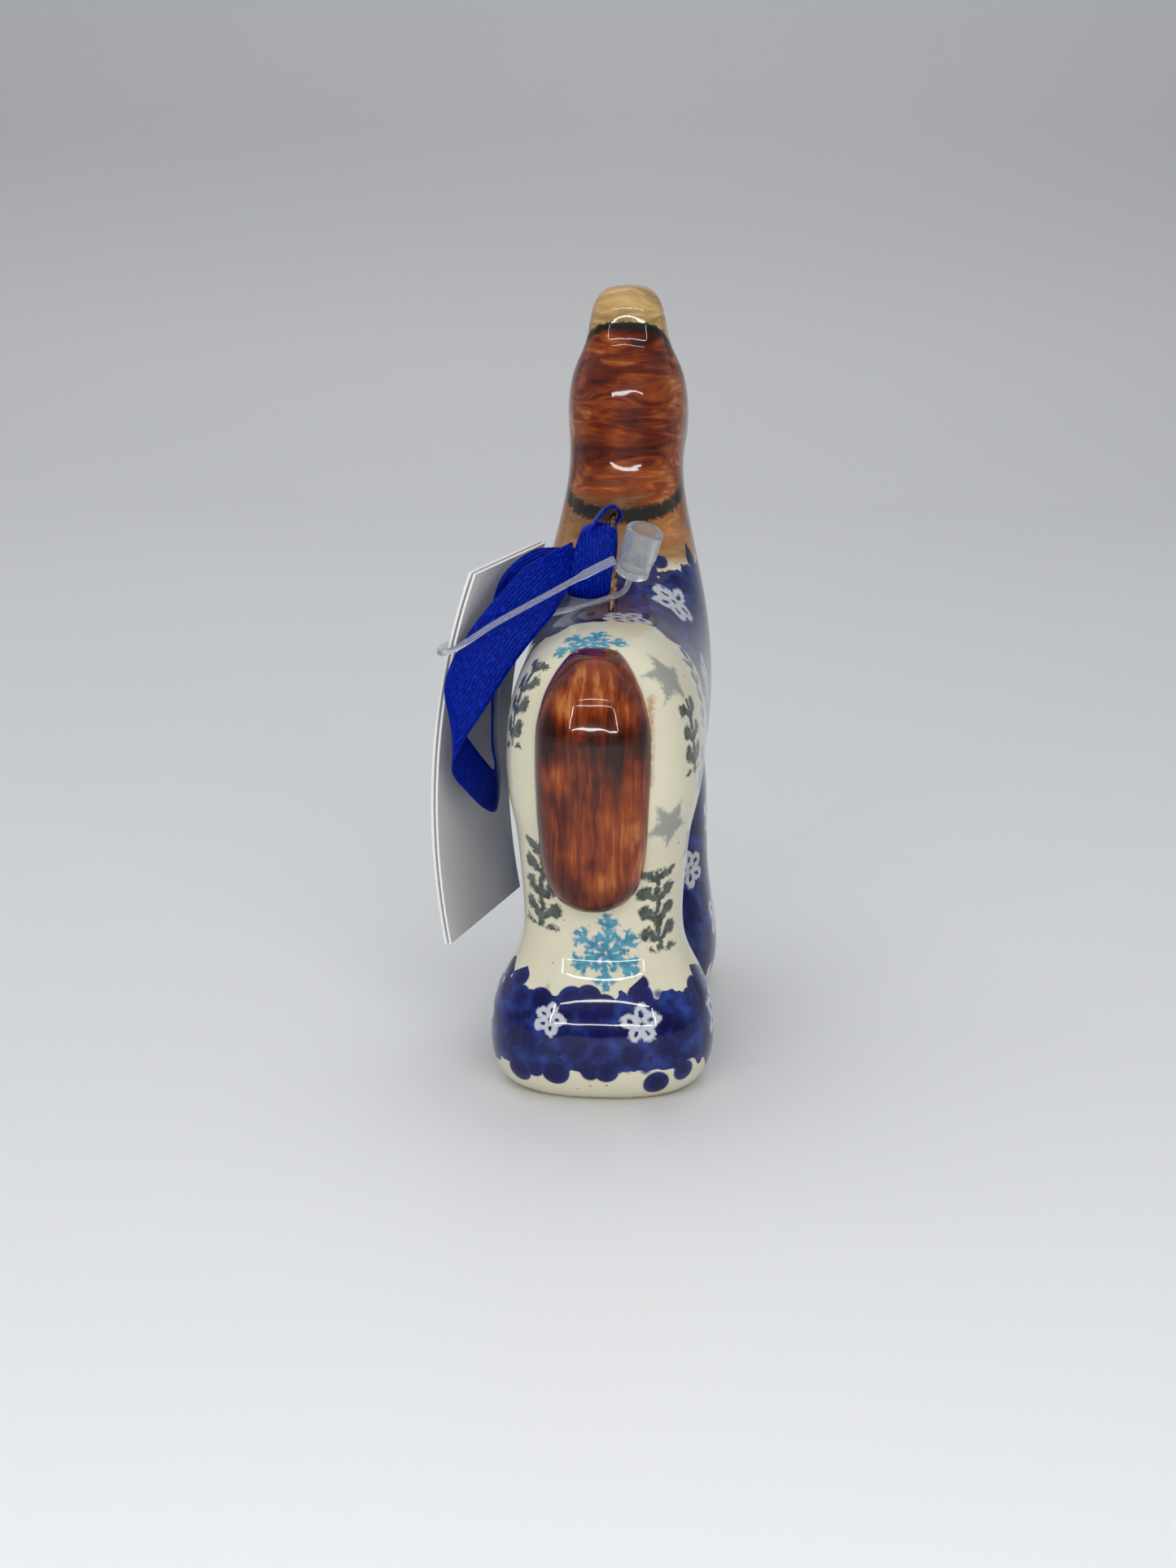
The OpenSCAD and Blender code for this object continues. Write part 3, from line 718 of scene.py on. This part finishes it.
for vert in work.verts:
    share = vert.co.z / hitch_half_width
    crown = 1.0 - 0.10 * share * share
    fold = 0.22 * MM * math.sin(5.0 * share + 4.0 * vert.co.x / MM)
    level = vert.co.y / hitch_half_height
    narrow = 1.0 - 0.22 * max(level, 0.0) ** 2
    # The band leans: its upper end is drawn towards the wire.
    vert.co = hitch_middle + Vector((vert.co.z * narrow - 0.9 * MM * level, vert.co.x * crown + fold * 0.5,
                                     vert.co.y * crown))
for face in work.faces:
    for loop in face.loops:
        spot = (loop.vert.co - hitch_middle) / MM
        loop[uv].uv = (spot.x, spot.z)
bmesh.ops.recalc_face_normals(work, faces=work.faces)
hitch = show("ribbon_hitch_collar", work, satin)
give_cloth(hitch, 0.5 * MM, offset=-1)
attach(hitch, "ribbon")
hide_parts("ribbon_hitch")

# The bight itself, gathered narrow where it goes over the wire.
bight_stops = [(3.4, 12.0, 88.8), (2.2, 11.2, 90.6), (1.0, 10.3, 91.7), (-0.2, 10, 91.8), (-1.2, 10, 90.6),
               (-0.5, 10, 89.4), (0.8, 10.4, 88.6), (2.6, 11.4, 87.6)]
bight_path = [p * MM for p in smooth_route(bight_stops, 6)]
bight_ways = [Vector((-0.15, 1, 0.1))] * len(bight_path)
bight_rows = len(bight_path) - 1
bight_widths = [(2.4 + 3.6 * abs(2 * i / bight_rows - 1) ** 1.5) * MM for i in range(bight_rows + 1)]
work = bmesh.new()
strip(work, bight_path, bight_ways, bight_widths, 8)
bight = show("ribbon_bight", work, satin)
give_cloth(bight, 0.35 * MM)
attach(bight, "ribbon")


# ---------------------------------------------------------------------------------------------------------
# Tag fastener: one moulding of polypropylene. A barrel with an open mouth, and a thin strand that leaves
# the barrel's side, goes through the tag and ends in an arrow tip, which snaps into the barrel from below.
milky_plastic, tree = new_material("milky polypropylene")
place = put(tree, "TexCoord").outputs["Object"]
haze = put(tree, "TexNoise", place, named={"Scale": 350.0, "Detail": 2.0})
tone = put(tree, "Mix", haze, colour("#E4E8EC"), colour("#F2F4F6"), data_type="RGBA")
flow = put(tree, "Bump", named={"Strength": 0.3, "Distance": 0.00008, "Height": haze})
surface = put(tree, "BsdfPrincipled", tone, named={"Roughness": 0.22, "IOR": 1.49, "Normal": flow,
                                                   "Transmission Weight": 0.88})
put(tree, "OutputMaterial", surface)

barrel_foot = Vector((-3.6, 18.8, 82)) * MM
barrel_lean = (math.radians(-15), math.radians(-17), 0)


def turned(name, outline, closed):
    """A round piece turned from a half outline of radius and height, set in the barrel's place."""
    work = bmesh.new()
    verts = [work.verts.new((radius * MM, 0, height * MM)) for radius, height in outline]
    pairs = list(zip(verts, verts[1:])) + ([(verts[-1], verts[0])] if closed else [])
    edges = [work.edges.new(pair) for pair in pairs]
    bmesh.ops.spin(work, geom=verts + edges, angle=math.tau, steps=56, axis=(0, 0, 1), cent=(0, 0, 0),
                   use_merge=True)
    bmesh.ops.remove_doubles(work, verts=work.verts, dist=0.002 * MM)
    bmesh.ops.recalc_face_normals(work, faces=work.faces)
    piece = show(name, work, milky_plastic)
    place = bpy.data.objects.new("barrel place", None)
    place.rotation_euler = barrel_lean
    place.location = barrel_foot
    piece.data.transform(place.matrix_basis)
    bpy.data.objects.remove(place)
    soften = piece.modifiers.new("soft edges", "BEVEL")
    soften.width = 0.12 * MM
    soften.segments = 3
    soften.limit_method = "ANGLE"
    return piece


barrel_outline = [(0.8, 0.0), (2.35, 0.0), (2.8, 0.35), (2.8, 3.3), (3.1, 3.75), (3.1, 8.2), (2.85, 8.5),
                  (2.45, 8.5), (2.2, 8.2), (2.2, 1.6), (1.8, 1.2), (0.8, 1.2)]
barrel = turned("fastener_barrel", barrel_outline, closed=True)
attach(barrel, "fastener")
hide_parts("fastener_socket")
tip = turned("fastener_tip", [(0.0, -0.6), (0.78, -0.6), (0.78, 1.25), (1.6, 1.3), (1.6, 1.75), (0.75, 4.6),
                              (0.45, 5.3), (0.0, 5.5)], closed=False)
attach(tip, "fastener")
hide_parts("fastener_plug")

strand_stops = [
    (-0.9, 19.6, 84.6), (3, 20.8, 82.8), (10, 23.2, 79.2), (18, 25.8, 75), (24, 27.2, 71.2),
    (26.6, 27.2, 70.2), (27.4, 24.6, 70), (27, 20.4, 70), (25.6, 16.6, 70), (22.6, 16.6, 70.2),
    (18, 17.4, 72), (12, 16.2, 74.2),
    (6, 15.8, 75.8), (1, 16.3, 77.4), (-2.2, 17.8, 79), (-3.4, 18.6, 81.3),
]
strand_path = [p * MM for p in smooth_route(strand_stops, 6)]
strand_line = bpy.data.curves.new("fastener_strand_moulding", "CURVE")
strand_line.dimensions = "3D"
strand_line.bevel_depth = 0.5 * MM
strand_line.bevel_resolution = 5
strand_line.use_fill_caps = True
spline = strand_line.splines.new("POLY")
spline.points.add(len(strand_path) - 1)
root_points = 8
for number, (point, spot) in enumerate(zip(spline.points, strand_path)):
    point.co = (*spot, 1)
    point.radius = 1.45 if number < root_points else 1.0
strand_line.materials.append(milky_plastic)
strand = bpy.data.objects.new("fastener_strand_moulding", strand_line)
scene.collection.objects.link(strand)
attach(strand, "fastener")
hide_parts("fastener_strand")


# ---------------------------------------------------------------------------------------------------------
# Tag: one piece of smooth white card, folded once to two leaves and punched near the open edge.
tag_card, tree = new_material("smooth white card")
mm = in_millimetres(tree)
pulp = put(tree, "TexNoise", mm, named={"Scale": 2.2, "Detail": 4.0, "Roughness": 0.7})
tone = put(tree, "Mix", pulp, colour("#E3E4E1"), colour("#F0F0EE"), data_type="RGBA")
tooth = put(tree, "Bump", named={"Strength": 0.35, "Distance": 0.00006, "Height": pulp})
surface = put(tree, "BsdfPrincipled", tone, named={"Roughness": 0.62, "Normal": tooth})
put(tree, "OutputMaterial", surface)
leaves = [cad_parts[name] for name in ("tag_back_leaf", "tag_front_leaf")]
for leaf in leaves:
    leaf.data.materials.clear()
    leaf.data.materials.append(tag_card)
